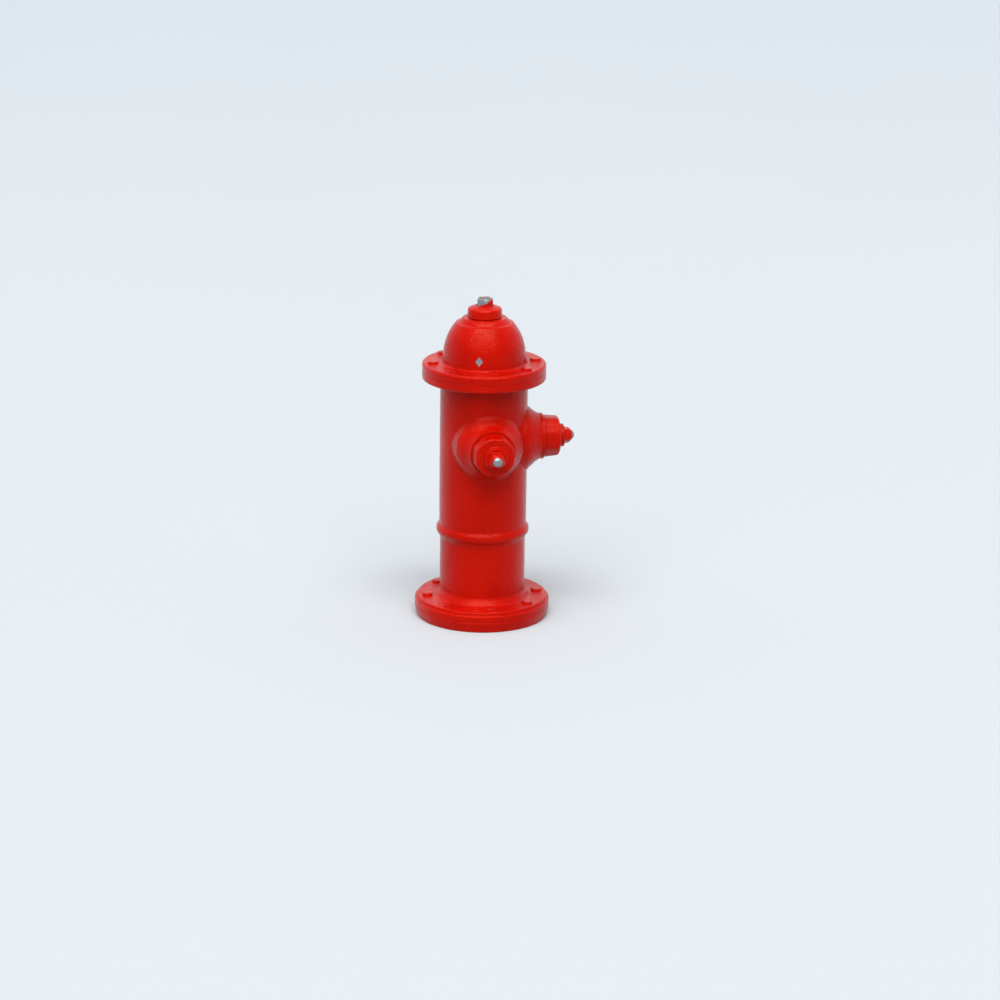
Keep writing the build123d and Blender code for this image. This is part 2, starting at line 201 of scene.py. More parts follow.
# ---- Shader maths ----
class Signal:
    """A shader output on which Python arithmetic adds Math nodes."""

    def __init__(self, shade, socket):
        self.shade = shade
        self.socket = socket

    def __add__(self, other):
        return self.shade.math("ADD", self, other)

    __radd__ = __add__

    def __sub__(self, other):
        return self.shade.math("SUBTRACT", self, other)

    def __rsub__(self, other):
        return self.shade.math("SUBTRACT", other, self)

    def __mul__(self, other):
        return self.shade.math("MULTIPLY", self, other)

    __rmul__ = __mul__

    def __truediv__(self, other):
        return self.shade.math("DIVIDE", self, other)

    def __abs__(self):
        return self.shade.math("ABSOLUTE", self)

    def over(self, low, high):
        """0 below low, 1 above high, smooth between."""
        return self.shade.node("ShaderNodeMapRange", {"interpolation_type": "SMOOTHSTEP"},
                               {"Value": self, "From Min": low, "From Max": high})


class Shade:
    """A material or world and the one way its nodes are made."""

    def __init__(self, owner):
        self.owner = owner
        owner.use_nodes = True
        self.tree = owner.node_tree
        self.tree.nodes.clear()

    def node(self, kind, settings=None, sockets=None, out=0):
        """Adds a node: its settings are set first, then its sockets are given values or links."""
        made = self.tree.nodes.new(kind)
        for name, value in (settings or {}).items():
            if name == "stops":
                ramp = made.color_ramp
                while len(ramp.elements) < len(value):
                    ramp.elements.new(0.5)
                for element, (place, colour) in zip(ramp.elements, value):
                    element.position = place
                    element.color = colour
            else:
                setattr(made, name, value)
        for key, value in (sockets or {}).items():
            if isinstance(value, Signal):
                self.tree.links.new(value.socket, made.inputs[key])
            else:
                made.inputs[key].default_value = value
        return Signal(self, made.outputs[out]) if made.outputs else made

    def math(self, operation, first, second=0.0):
        return self.node("ShaderNodeMath", {"operation": operation}, {0: first, 1: second})

    def place(self):
        """Object coordinates."""
        return self.node("ShaderNodeTexCoord", out="Object")

    def dot(self, vector, direction):
        return self.node("ShaderNodeVectorMath", {"operation": "DOT_PRODUCT"},
                         {0: vector, 1: direction}, out="Value")

    def part(self, vector, axis):
        return self.node("ShaderNodeSeparateXYZ", None, {0: vector}, out=axis)

    def clouds(self, scale, detail=3.0, rough=0.55, where=None, stretch=None):
        """Noise from 0 to 1."""
        where = where or self.place()
        if stretch:
            where = self.node("ShaderNodeMapping", None, {"Vector": where, "Scale": stretch})
        return self.node("ShaderNodeTexNoise", None,
                         {"Vector": where, "Scale": scale, "Detail": detail, "Roughness": rough})

    def cells(self, scale, feature="F1", out="Distance"):
        return self.node("ShaderNodeTexVoronoi", {"feature": feature},
                         {"Vector": self.place(), "Scale": scale}, out)

    def blend(self, factor, first, second):
        """Mixes two colours."""
        return self.node("ShaderNodeMix", {"data_type": "RGBA"},
                         {0: factor, 6: opaque(first), 7: opaque(second)}, out=2)

    def bump(self, height, distance, strength=1.0, under=None):
        sockets = {"Height": height, "Distance": distance, "Strength": strength}
        if under:
            sockets["Normal"] = under
        return self.node("ShaderNodeBump", None, sockets)

    def finish(self, sockets, fixed=None):
        """Principled surface; fixed holds the numbers that are the same all over."""
        surface = self.node("ShaderNodeBsdfPrincipled", None, {**sockets, **(fixed or {})})
        self.node("ShaderNodeOutputMaterial", None, {"Surface": surface})
        return self.owner


def new_material(name):
    return Shade(bpy.data.materials.new(name))


def opaque(colour):
    """A colour with full alpha, or the signal as it is."""
    return colour if isinstance(colour, Signal) else (*tuple(colour)[:3], 1.0)


# ---- Materials ----
def enamel(name, colours, under=None, chips=()):
    """Thick glossy red enamel over what the mesh attribute 'bare' and the chips lay open.

    under is (colour, its darker tone, metallic, roughness). A chip is (centre, direction across it,
    half width, half height) in metres.
    """
    shade = new_material(name)
    base, tone, metallic, dullness = under or (tuple(colours.bare), (0.19, 0.22, 0.235), 0.7, 0.36)
    broad = shade.clouds(9.0, 3.0)
    fine = shade.clouds(150.0, 4.0, 0.6)
    peel = shade.clouds(260.0, 2.0, 0.5)
    drips = shade.clouds(30.0, 3.0, 0.5, stretch=(1.0, 1.0, 0.3))
    puddles = shade.clouds(95.0, 2.0, 0.5)
    paint = shade.blend(broad.over(0.35, 0.7), colours.enamel, colours.enamel_deep)
    paint = shade.blend(fine.over(0.6, 0.85) * 0.2, paint, (0.45, 0.0035, 0.0))

    ragged = shade.clouds(340.0, 5.0, 0.65)
    bare = shade.node("ShaderNodeAttribute", {"attribute_name": "bare"}, None, out="Fac")
    gone = (bare + (ragged - 0.5) * 0.8).over(0.48, 0.56)
    specks = (shade.cells(46.0) * -1.0 + 0.01 + (broad - 0.5) * 0.22 + (ragged - 0.5) * 0.10).over(0.0, 0.012)
    gone = shade.math("MAXIMUM", gone, specks)
    for centre, across, half_width, half_height in chips:
        offset = shade.node("ShaderNodeVectorMath", {"operation": "SUBTRACT"}, {0: shade.place(), 1: centre})
        reach = shade.node("ShaderNodeVectorMath", {"operation": "LENGTH"}, {0: offset}, out="Value")
        shape = abs(shade.dot(offset, across)) / half_width + abs(shade.part(offset, "Z")) / half_height
        shape = shape + (ragged - 0.5) * 0.7 + reach.over(half_width * 1.5, half_width * 1.8) * 4.0
        gone = shade.math("MAXIMUM", gone, 1.0 - shape.over(0.86, 0.98))

    grain = shade.clouds(900.0, 3.0, 0.6)
    colour = shade.blend(gone, paint, shade.blend(grain.over(0.3, 0.75), base, tone))
    gloss = 0.07 + fine * 0.06 + broad * 0.04
    rough = gloss + gone * ((grain - 0.5) * 0.2 + dullness - gloss)
    normal = shade.bump(drips * 1.1 + puddles * 0.9 + peel * 1.6 + fine * 0.2, 0.0013, 0.6)
    normal = shade.bump(1.0 - gone, 0.0007, 0.8, normal)
    return shade.finish(
        {"Base Color": colour, "Roughness": rough, "Metallic": gone * metallic, "Normal": normal},
        {"IOR": 1.31, "Specular Tint": (1.0, 0.34, 0.24, 1.0)},
    )


def turned_metal(name, base, dark, rough=0.28, groove=0.00025, metallic=1.0):
    """Machined metal with fine turning marks, stains and a few dull patches."""
    shade = new_material(name)
    stain = shade.clouds(38.0, 5.0, 0.6)
    grain = shade.clouds(700.0, 2.0, 0.5)
    lines = shade.clouds(160.0, 2.0, 0.5, stretch=(0.15, 0.15, 9.0))
    colour = shade.blend(stain.over(0.4, 0.72), base, dark)
    height = grain * 0.4 + lines * 0.6
    return shade.finish(
        {"Base Color": colour, "Roughness": rough + stain * 0.2 + grain * 0.08,
         "Normal": shade.bump(height, groove, 0.6)},
        {"Metallic": metallic},
    )


def dull(name, base, tone, rough, pit=0.0003, scale=240.0):
    """Rubber, plastic or coated iron: soft mottling with a fine pitted surface."""
    shade = new_material(name)
    mottle = shade.clouds(60.0, 4.0, 0.6)
    pits = shade.clouds(scale, 4.0, 0.65)
    return shade.finish(
        {"Base Color": shade.blend(mottle.over(0.35, 0.72), base, tone),
         "Roughness": rough + (pits - 0.5) * 0.2,
         "Normal": shade.bump(pits, pit, 0.7)},
    )


def floor_paper(name, near, far):
    """Matt studio floor whose colour is painted darker and a little bluer into the distance, as painted shade for
    light falling off.
    """
    shade = new_material(name)
    place = shade.place()
    broad = shade.clouds(0.5, 2.0)
    fine = shade.clouds(420.0, 3.0)
    # Painted shade: the floor fades to the darker far colour with distance, standing in for light falling off.
    painted_falloff = (shade.part(place, "Y") + (broad - 0.5) * 3.0).over(-3.0, 16.0)
    return shade.finish({"Base Color": shade.blend(painted_falloff, near, far), "Roughness": 0.7 + fine * 0.1},
                        {"Specular IOR Level": 0.1})


def surroundings(stage):
    """World of one large soft window in front, pale sides and back, and a dimmer room behind the camera."""
    shade = Shade(bpy.data.worlds.new("surroundings"))
    look = shade.node("ShaderNodeTexCoord", out="Generated")
    turn, rise = stage.azimuth + stage.window_turn, stage.window_rise
    level = Vector((math.sin(turn), -math.cos(turn), 0))
    across = Vector((math.cos(turn), math.sin(turn), 0))
    centre = level * math.cos(rise) + Vector((0, 0, math.sin(rise)))
    up = centre.cross(across)
    ahead = shade.dot(look, centre)
    level_place = abs(shade.dot(look, across) / ahead)
    rise_place = shade.dot(look, up) / ahead
    wide = 1.0 - level_place.over(0.52, 0.60)
    tall = 1.0 - abs(rise_place).over(0.46, 0.54)
    window = wide * tall * ahead.over(0.0, 0.02)
    lamp = (1.0 - level_place.over(0.36, 0.44)) * (1.0 - abs(rise_place - 0.33).over(0.07, 0.12))
    towards = Vector((math.sin(stage.azimuth), -math.cos(stage.azimuth), 0))
    room = 1.0 - shade.dot(look, towards).over(-0.35, 0.85) * 0.38
    strength = room * stage.room_light + window * (stage.window_light + lamp * stage.lamp_light)
    colour = shade.node("ShaderNodeVectorMath", {"operation": "SCALE"},
                        {0: (0.955, 0.985, 1.0), "Scale": strength})
    light = shade.node("ShaderNodeBackground", None, {"Color": colour})
    shade.node("ShaderNodeOutputWorld", None, {"Surface": light})
    return shade.owner


def chip_on_dome():
    """The one large chip, a kite on the front of the dome just above its flange."""
    turn = math.radians(-16.2)
    radius = 0.0962
    centre = (radius * math.sin(turn), -radius * math.cos(turn), JOINT / 1000 + 0.0445)
    across = (math.cos(turn), math.sin(turn), 0.0)
    return centre, across, 0.0098, 0.0108


def make_materials(context):
    """Every finish by the record's slot name, with the extra ones that share a slot."""
    colours = context.scene.hydrant_colours
    bronze, bronze_dark = tuple(colours.bronze), (0.30, 0.20, 0.11)
    rubber, rubber_tone = (0.035, 0.035, 0.036), (0.07, 0.066, 0.062)
    return {
        "red_enamel": enamel("red_enamel", colours),
        "bonnet_enamel": enamel("bonnet_enamel", colours, None, [chip_on_dome()]),
        "painted_nut": enamel("painted_nut", colours),
        "bronze": turned_metal("bronze", bronze, bronze_dark),
        "nozzle_bronze": enamel("nozzle_bronze", colours, (bronze, bronze_dark, 1.0, 0.3)),
        "painted_gasket": enamel("painted_gasket", colours, (rubber, rubber_tone, 0.0, 0.7)),
        "stem_steel": turned_metal("stem_steel", (0.42, 0.42, 0.43), (0.20, 0.19, 0.18), 0.30),
        "stainless": turned_metal("stainless", (0.60, 0.60, 0.60), (0.42, 0.42, 0.42), 0.22),
        "coated_iron": dull("coated_iron", (0.03, 0.03, 0.034), (0.07, 0.065, 0.06), 0.5, 0.0006),
        "valve_rubber": dull("valve_rubber", (0.022, 0.022, 0.022), (0.05, 0.05, 0.048), 0.62),
        "gasket_rubber": dull("gasket_rubber", rubber, rubber_tone, 0.7, 0.0004, 400.0),
        "seal_rubber": dull("seal_rubber", (0.012, 0.012, 0.012), (0.03, 0.03, 0.03), 0.42, 0.0001, 500.0),
        "washer_plastic": dull("washer_plastic", (0.74, 0.71, 0.62), (0.60, 0.56, 0.47), 0.38, 0.0001, 500.0),
    }


# ---- Outlines ----
def outline(corners, step=5.0):
    """Dense outline through corners (a, b, radius, kind): rounds each corner and divides long runs.

    Returns the points and, for each, the share of each cross-section kind.
    """
    points, kinds = [], []
    count = len(corners)
    for i, (a, b, radius, kind) in enumerate(corners):
        here = Vector((a, b))
        share = np.eye(len(SIDES))[kind]
        back = Vector(corners[i - 1][:2]) - here
        ahead = Vector(corners[(i + 1) % count][:2]) - here
        if radius == 0 or i in (0, count - 1):
            points.append(here)
            kinds.append(share)
            continue
        u, v = back.normalized(), ahead.normalized()
        half = u.angle(v) / 2
        reach = min(radius / math.tan(half), 0.48 * back.length, 0.48 * ahead.length)
        radius = reach * math.tan(half)
        centre = here + (u + v).normalized() * (radius / math.sin(half))
        start, end = here + u * reach - centre, here + v * reach - centre
        sweep = start.angle(end)
        steps = max(3, int(sweep * radius / 0.9), int(sweep / 0.22))
        for k in range(steps + 1):
            t = k / steps
            weight = (math.sin((1 - t) * sweep) / math.sin(sweep), math.sin(t * sweep) / math.sin(sweep))
            points.append(centre + start * weight[0] + end * weight[1])
            kinds.append(share)
    dense, shares = [], []
    for i, (p, s) in enumerate(zip(points, kinds)):
        dense.append(p)
        shares.append(s)
        if i + 1 < len(points):
            after, later = points[i + 1], kinds[i + 1]
            cuts = int((after - p).length / step)
            for k in range(1, cuts + 1):
                t = k / (cuts + 1)
                dense.append(p.lerp(after, t))
                shares.append(s * (1 - t) + later * t)
    return np.array([tuple(p) for p in dense]), np.array(shares)


def plain(*corners):
    """Corners of a round outline, given as (radius, height, rounding)."""
    return [(a, b, radius, ROUND) for a, b, radius in corners]


def bow(start, end, bulge, steps):
    """Corners along an arc from start to end that stands bulge to the right of the straight line."""
    start, end = Vector(start), Vector(end)
    chord = end - start
    side = Vector((chord.y, -chord.x)).normalized()
    radius = (chord.length ** 2 / 4 + bulge ** 2) / (2 * abs(bulge))
    half = math.asin(min(1.0, chord.length / 2 / radius))
    middle = (start + end) / 2 + side * (bulge - math.copysign(radius, bulge))
    made = []
    for k in range(steps + 1):
        angle = -half + 2 * half * k / steps
        out = (side * math.cos(angle) * math.copysign(radius, bulge)
               + chord.normalized() * math.sin(angle) * radius)
        point = middle + out
        made.append((point.x, point.y, 0.0, ROUND))
    return made


def section(angles, sides, sharp=17.0):
    """Distance to a rounded polygon's edge in each direction, where its flats lie at 1."""
    if sides == 0:
        return np.ones_like(angles)
    flats = 2 * math.pi * np.arange(sides) / sides
    towards = np.clip(np.cos(angles[:, None] - flats[None]), 0, None)
    return (towards ** sharp).sum(1) ** (-1 / sharp)


def turn_mesh(shape, columns, limit=None, facing=0.0):
    """Vertices and faces turned about Z.

    Outline ends on the axis close at a pole, others close on each other.

    limit gives the largest radius at a height, as a cone (height, radius, fall for each millimetre).
    """
    points, shares = shape
    angles = 2 * math.pi * np.arange(columns) / columns
    rows = sum(shares[:, k:k + 1] * section(angles - facing, sides)[None] for k, sides in enumerate(SIDES))
    radii = points[:, :1] * rows
    for height, radius, fall in limit or ():
        cone = radius - fall * (points[:, 1:] - height)
        gap = np.clip(1.6 - np.abs(radii - cone), 0, None)
        softened = np.minimum(radii, cone) - gap * gap / 6.4
        radii = np.where((points[:, 1:] > height - 2) & (points[:, :1] > 1.0), softened, radii)
    on_axis = points[:, 0] < 1e-6
    verts, row_start = [], []
    for i in range(len(points)):
        row_start.append(len(verts))
        if on_axis[i]:
            verts.append((0.0, 0.0, points[i, 1]))
        else:
            level = np.full(columns, points[i, 1])
            verts.extend(zip(radii[i] * np.cos(angles), radii[i] * np.sin(angles), level))
    faces = []
    joins = len(points) if not on_axis[0] else len(points) - 1
    for i in range(joins):
        j = (i + 1) % len(points)
        a, b = row_start[i], row_start[j]
        for k in range(columns):
            n = (k + 1) % columns
            if on_axis[i]:
                faces.append((a, b + n, b + k))
            elif on_axis[j]:
                faces.append((a + k, a + n, b))
            else:
                faces.append((a + k, a + n, b + n, b + k))
    return np.array(verts), faces


# ---- Meshes and objects ----
def make_object(name, verts, faces):
    """An object whose mesh is given in millimetres, with its faces turned outwards."""
    mesh = bpy.data.meshes.new(name)
    mesh.from_pydata((np.asarray(verts) / 1000).tolist(), [], faces)
    tidy = bmesh.new()
    tidy.from_mesh(mesh)
    bmesh.ops.remove_doubles(tidy, verts=tidy.verts, dist=1e-7)
    bmesh.ops.recalc_face_normals(tidy, faces=tidy.faces)
    tidy.to_mesh(mesh)
    tidy.free()
    made = bpy.data.objects.new(name, mesh)
    bpy.context.scene.collection.objects.link(made)
    return made


def smooth(made, angle=38.0):
    """Smooth shading with sharp edges where faces turn by more than angle."""
    made.data.shade_smooth()
    made.data.set_sharp_from_angle(angle=math.radians(angle))
    return made


def evaluated_mesh(made):
    """The object's mesh with its modifiers applied, and the modifiers gone."""
    bpy.context.view_layer.update()
    graph = bpy.context.evaluated_depsgraph_get()
    mesh = bpy.data.meshes.new_from_object(made.evaluated_get(graph))
    made.modifiers.clear()
    made.data = mesh
    return made


def combine(made, tools, operation):
    """Unites or cuts an object with others, which are then removed."""
    for tool in tools:
        change = made.modifiers.new(tool.name, "BOOLEAN")
        change.operation = operation
        change.solver = "MANIFOLD"
        change.object = tool
    evaluated_mesh(made)
    for tool in tools:
        bpy.data.objects.remove(tool)
    return made


def lay_out(made, angle):
    """Lays a piece turned about Z along the outlet at this angle."""
    made.data.transform(outlet_matrix(angle))
    return made


def outlet_matrix(angle):
    """Turns local Z to point out along the outlet at this angle, at the outlets' height."""
    along = Matrix.Rotation(math.radians(angle), 4, "Z") @ Matrix.Rotation(math.pi / 2, 4, "Y")
    return Matrix.Translation((0, 0, OUTLET_Z / 1000)) @ along


def roughen(made, depth, inner=0.0):
    """Adds slow waves to a casting's outer surface; depth is in metres."""
    mesh = made.data
    normals = [v.normal.copy() for v in mesh.vertices]
    for vertex, normal in zip(mesh.vertices, normals):
        if math.hypot(vertex.co.x, vertex.co.y) > inner and 0.0005 < vertex.co.z:
            wave = noise.noise(vertex.co * 21.0) + 0.45 * noise.noise(vertex.co * 67.0)
            vertex.co += normal * (wave * depth)
    return made


def mark_bare(made, weight):
    """Stores how bare of paint each point is, from a function of its place in metres."""
    values = np.array([weight(v.co) for v in made.data.vertices], np.float32)
    attribute = made.data.attributes.new("bare", "FLOAT", "POINT")
    attribute.data.foreach_set("value", values)
    return made


def settle(made, body, node, material):
    """Gives a finished piece its material and body, and hides the imported node it replaces."""
    made.data.materials.clear()
    made.data.materials.append(material)
    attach(made, body)
    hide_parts(node)
    return made


def cylinders(name, radius, bottom, top, circle, count, first=0.0, columns=24):
    """Round tools on a circle, as one object."""
    verts, faces = [], []
    shape = outline(plain((0, bottom, 0), (radius, bottom, 0), (radius, top, 0), (0, top, 0)), 1000.0)
    one, one_faces = turn_mesh(shape, columns)
    for i in range(count):
        angle = math.radians(first + 360.0 / count * i)
        shift = np.array([circle * math.cos(angle), circle * math.sin(angle), 0])
        faces += [tuple(index + len(verts) for index in face) for face in one_faces]
        verts += [tuple(v) for v in one + shift]
    return make_object(name, verts, faces)


# ---- Operators ----
class PieceOperator:
    """What the piece operators share."""

    bl_options = {"REGISTER", "UNDO"}

    def execute(self, context):
        self.build(context, context.scene.hydrant_sizes, MATERIALS)
        return {"FINISHED"}


MATERIALS = {}


class HYDRANT_OT_finishes(bpy.types.Operator):
    """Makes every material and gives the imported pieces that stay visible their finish"""

    bl_idname = "hydrant.finishes"
    bl_label = "Finishes"

    def execute(self, context):
        MATERIALS.update(make_materials(context))
        slots = {part["node"]: part["material_slot"] for part in frame["record"]["subparts"]}
        for node, piece in frame["nodes"].items():
            piece.data.materials.clear()
            piece.data.materials.append(MATERIALS[slots[node]])
        return {"FINISHED"}


def boss(sizes, columns=192):
    """One outlet boss: a bell of revolution that runs out softly on to the barrel."""
    radius = sizes.upper_radius * 1000
    end, face = sizes.boss_end * 1000, sizes.boss_radius * 1000
    corners = plain(
        (0, end, 0), (face, end, 1.0), (face, end - 2.5, 1.5), (60.5, end - 13, 26), (71, 106, 15),
        (78.5, 94, 24), (82, 70, 0), (84, 40, 0), (95, 0, 0),
    )
    points = outline(corners, 2.2)[0]
    web = sizes.web * 1000
    angles = 2 * math.pi * np.arange(columns) / columns
    across = points[:, :1] * np.cos(angles)[None]
    under = np.sqrt(np.clip(radius ** 2 - across ** 2, 1.0, None))
    own = np.repeat(points[:, 1:], columns, 1)
    gap = np.clip(web - np.abs(own - under), 0, None)
    reach = np.maximum(own, under) + gap * gap / (4 * web)
    settled = np.clip((points[:, :1] - 84.5) / 7.0, 0, 1)
    bury = 1 - settled * (1.2 / radius)
    reach = reach * bury
    across = across * bury
    up = points[:, :1] * np.sin(angles)[None]
    verts = [(0, 0, end)]
    for i in range(1, len(points)):
        verts += list(zip(up[i], across[i], reach[i]))
    verts.append((0, 0, 15.0))
    rows = len(points) - 1
    faces = []
    for k in range(columns):
        n = (k + 1) % columns
        faces.append((0, 1 + k, 1 + n))
        for i in range(rows - 1):
            a, b = 1 + i * columns, 1 + (i + 1) * columns
            faces.append((a + k, b + k, b + n, a + n))
        last = 1 + (rows - 1) * columns
        faces.append((last + k, len(verts) - 1, last + n))
    return verts, faces


class HYDRANT_OT_barrel(PieceOperator, bpy.types.Operator):
    """Makes the barrel casting with its foot, bead, top flange and three bosses"""

    bl_idname = "hydrant.barrel"
    bl_label = "Barrel"

    def build(self, context, sizes, materials):
        upper, lower = sizes.upper_radius * 1000, sizes.lower_radius * 1000
        bead, middle = sizes.bead_radius * 1000, sizes.bead_height * 1000
        step, top = sizes.step_radius * 1000, sizes.foot_top * 1000
        rim = BONNET_HIGH.x
        flange = JOINT - 18.5
        corners = plain(
            (0, FOOT, 0), (BARREL_HIGH.x, FOOT, 0.6), (BARREL_HIGH.x, 40.5, 3.0), (step, 40.5, 1.0),
            (step, top, 4.0), (110, top + 0.4, 9), (lower, top + 15, 16), (lower, middle - 21, 6),
            (lower + 2.8, middle - 13.5, 3),
        )
        bulge = bead - (lower + upper) / 2 - 2
        corners += bow((lower + 3.4, middle - 12), (upper + 0.7, middle + 12.5), bulge, 18)
        corners += plain(
            (upper, middle + 15.5, 3), (upper, flange, 5.5), (rim, flange, 4.5), (rim, JOINT, 0.6),
            (0, JOINT, 0),
        )
        made = make_object("barrel_casting", *turn_mesh(outline(corners, 5.5), sizes.columns))
        bosses = []
        for name, angle in OUTLETS.items():
            bosses.append(lay_out(make_object(name + "_boss", *boss(sizes)), angle))
        combine(made, bosses, "UNION")
        roughen(made, sizes.unevenness, 0.08)
        bore, lower_bore, ledge_bore, throat = 89, 88, 74, 76
        throat_top, cone_top, ledge, ledge_top = 36, 48, 178, 206
        inside = plain(
            (0, FOOT - 5, 0), (throat, FOOT - 5, 0), (throat, throat_top, 0), (lower_bore, cone_top, 0),
            (lower_bore, ledge, 0), (ledge_bore, ledge, 0), (ledge_bore, ledge_top, 0), (bore, ledge_top, 0),
            (bore, JOINT + 5, 0), (0, JOINT + 5, 0),
        )
        tools = [make_object("bore", *turn_mesh(outline(inside, 30.0), 96))]
        start, seat, beyond = 60, 96.3, 140
        passage = plain(
            (0, start, 0), (34, start, 0), (34, seat, 0), (44, seat, 0), (44, beyond, 0), (0, beyond, 0),
        )
        for name, angle in OUTLETS.items():
            tool = make_object(name + "_passage", *turn_mesh(outline(passage, 40.0), 72))
            tools.append(lay_out(tool, angle))
        tools.append(cylinders("foot_holes", 8.5, FOOT - 5, top + 5, foot_circle(), 8))
        tools.append(cylinders("top_holes", 8.0, JOINT - 16, JOINT + 5, top_circle(), 8))
        for angle in (45.0, 135.0):
            hole = plain((0, 70, 0), (PORT_RADIUS, 70, 0), (PORT_RADIUS, 112, 0), (0, 112, 0))
            port = make_object("port_" + str(int(angle)), *turn_mesh(outline(hole), 24))
            lay = Matrix.Rotation(math.radians(angle), 4, "Z") @ Matrix.Rotation(math.pi / 2, 4, "Y")
            port.data.transform(Matrix.Translation((0, 0, PORT_HEIGHT / 1000)) @ lay)
            tools.append(port)
        combine(made, tools, "DIFFERENCE")
        smooth(made)
        settle(made, "hydrant", "barrel", materials["red_enamel"])


def foot_circle():
    """Radius of the foot bolts' circle."""
    return (FOOT_BOLT_HIGH.x - FOOT_BOLT_LOW.x) / 2 - BOLT_CORNER


def top_circle():
    """Radius of the bonnet bolts' circle."""
    return (TOP_BOLT_HIGH.x - TOP_BOLT_LOW.x) / 2 - BOLT_CORNER


class HYDRANT_OT_bonnet(PieceOperator, bpy.types.Operator):
    """Makes the domed bonnet with its flange and stem housing"""

    bl_idname = "hydrant.bonnet"
    bl_label = "Bonnet"

    def build(self, context, sizes, materials):
        bottom, top, crown = JOINT + 1.5, JOINT + 21, BONNET_HIGH.z
        rim = BONNET_HIGH.x
        housing = BONNET_LOW.z
        corners = plain((26, housing, 0), (38, housing, 0), (38, 684, 6))
        corners += bow((54, 690), (82, 640), -5.5, 10)
        corners += plain((85, bottom, 0), (rim, bottom, 0.6), (rim, top, 6.5), (98.2, top, 5.5))
        corners += bow((95.4, top + 26), (66.7, crown - 13), 5.9, 26)
        corners += plain(
            (60.5, crown - 11.0, 4.0), (50.5, crown - 1.0, 3.0), (33, crown, 0.8), (33, 690, 0), (22, 690, 0),
            (22, 684, 0), (26, 684, 0),
        )
        made = make_object("bonnet_casting", *turn_mesh(outline(corners, 4.0), sizes.columns))
        roughen(made, sizes.unevenness, 0.05)
        combine(made, [cylinders("bonnet_holes", 8.5, bottom - 5, top + 5, top_circle(), 8)], "DIFFERENCE")
        smooth(made)
        settle(made, "hydrant", "bonnet", materials["bonnet_enamel"])


class HYDRANT_OT_ground_flange(PieceOperator, bpy.types.Operator):
    """Makes the lower flange with the blind holes in its underside"""

    bl_idname = "hydrant.ground_flange"
    bl_label = "Ground flange"

    def build(self, context, sizes, materials):
        rim, top = GROUND_HIGH.x, GROUND_HIGH.z
        corners = plain(
            (76, 0, 0), (154, 0, 2.5), (rim, top - 4.5, 5), (rim, top, 1.2), (76, top, 0),
        )
        made = make_object("ground_flange_ring", *turn_mesh(outline(corners, 5.0), sizes.columns))
        roughen(made, sizes.unevenness, 0.1)
        holes = [
            cylinders("stud_holes", 7.0, -5, 15, foot_circle(), 8, 22.5),
            cylinders("bolt_holes", 8.0, 6, top + 5, foot_circle(), 8),
        ]
        combine(made, holes, "DIFFERENCE")
        smooth(made)
        settle(made, "hydrant", "ground_flange", materials["red_enamel"])


class HYDRANT_OT_gaskets(PieceOperator, bpy.types.Operator):
    """Makes both flange gaskets, whose rims are painted over with the flanges"""

    bl_idname = "hydrant.gaskets"
    bl_label = "Flange gaskets"

    def build(self, context, sizes, materials):
        jobs = (
            ("bonnet_gasket", 91, BONNET_HIGH.x, top_circle()),
            ("foot_gasket", 76, GROUND_HIGH.x, foot_circle()),
        )
        for name, inner, rim, circle in jobs:
            low, high = (corner.z * 1000 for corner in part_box(name))
            edge = rim - 0.3
            corners = plain((inner, low, 0), (edge, low, 0.2), (edge, high, 0.2), (inner, high, 0))
            made = make_object(name + "_sheet", *turn_mesh(outline(corners, 4.0), sizes.columns))
            combine(made, [cylinders(name + "_holes", 8.5, low - 5, high + 5, circle, 8)], "DIFFERENCE")
            mark_bare(made, lambda place, limit=rim / 1000 - 0.002: float(place.xy.length < limit))
            roughen(made, sizes.unevenness, 0.13)
            smooth(made)
            settle(made, "hydrant", name, materials["painted_gasket"])


def bolt_tree():
    """Node tree that repeats a bolt round a circle, each turned its own way."""
    tree = bpy.data.node_groups.new("bolt_circle", "GeometryNodeTree")
    tree.interface.new_socket("Geometry", in_out="OUTPUT", socket_type="NodeSocketGeometry")
    for name, kind in (("Bolt", "Object"), ("Count", "Int"), ("Circle Radius", "Float"), ("Turn Seed", "Int"),
                       ("Material", "Material")):
        tree.interface.new_socket(name, in_out="INPUT", socket_type="NodeSocket" + kind)
    nodes = tree.nodes
    given = nodes.new("NodeGroupInput")
    circle = nodes.new("GeometryNodeMeshCircle")
    bolt = nodes.new("GeometryNodeObjectInfo")
    turning = nodes.new("FunctionNodeRandomValue")
    turning.data_type = "FLOAT_VECTOR"
    turning.inputs[0].default_value = (0, 0, 0)
    turning.inputs[1].default_value = (0, 0, math.pi / 3)
    copies = nodes.new("GeometryNodeInstanceOnPoints")
    real = nodes.new("GeometryNodeRealizeInstances")
    coat = nodes.new("GeometryNodeSetMaterial")
    result = nodes.new("NodeGroupOutput")
    for start, end in (
        (given.outputs["Count"], circle.inputs["Vertices"]),
        (given.outputs["Circle Radius"], circle.inputs["Radius"]),
        (given.outputs["Bolt"], bolt.inputs["Object"]),
        (given.outputs["Turn Seed"], turning.inputs["Seed"]),
        (circle.outputs["Mesh"], copies.inputs["Points"]),
        (bolt.outputs["Geometry"], copies.inputs["Instance"]),
        (turning.outputs[0], copies.inputs["Rotation"]),
        (copies.outputs["Instances"], real.inputs["Geometry"]),
        (real.outputs["Geometry"], coat.inputs["Geometry"]),
        (given.outputs["Material"], coat.inputs["Material"]),
        (coat.outputs["Geometry"], result.inputs["Geometry"]),
    ):
        tree.links.new(start, end)
    return tree


